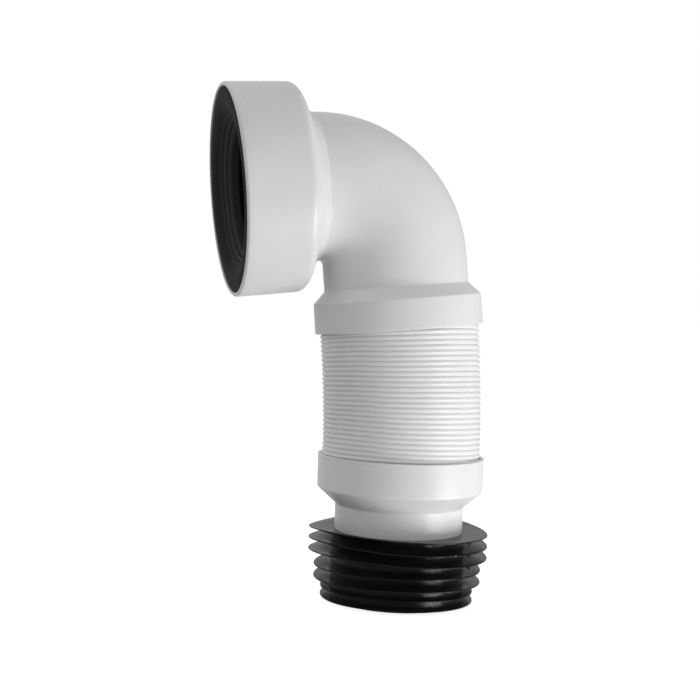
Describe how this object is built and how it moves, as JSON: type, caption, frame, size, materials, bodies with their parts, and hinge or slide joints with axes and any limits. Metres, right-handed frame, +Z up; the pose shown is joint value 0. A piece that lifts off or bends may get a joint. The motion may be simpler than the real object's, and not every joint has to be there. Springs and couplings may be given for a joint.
{
  "type": "extendable pan connector",
  "caption": "White bent waste connector for a toilet pan: inlet socket with a lip seal, corrugated tube that draws out and flexes, and a spigot with a finned rubber seal.",
  "frame": {"origin": "centre of the outlet's lower end, on the spigot's axis", "axes": "+Z up the spigot's axis towards the bend, -X towards the inlet's mouth"},
  "size_m": [0.1892, 0.135, 0.3328],
  "materials": {
    "white_plastic": "satin moulded white",
    "black_rubber": "satin black"
  },
  "bodies": {
    "outlet": {"outlet_cuff": "white_plastic", "fin_seal": "black_rubber"},
    "tube": {"flexible_tube": "white_plastic"},
    "inlet": {"bend_elbow": "white_plastic", "inlet_seal": "black_rubber"}
  },
  "joints": [
    {"name": "extend", "type": "slide", "parent": "outlet", "child": "tube", "axis": [-0.055, 0, 0.9985], "range_m": [0, 0.1], "deforming": ["flexible_tube"]},
    {"name": "flex", "type": "hinge", "parent": "tube", "child": "inlet", "pos_m": [-0.00278, 0, 0.16005], "axis": [0, 1, 0], "range_deg": [-12, 24]}
  ]
}
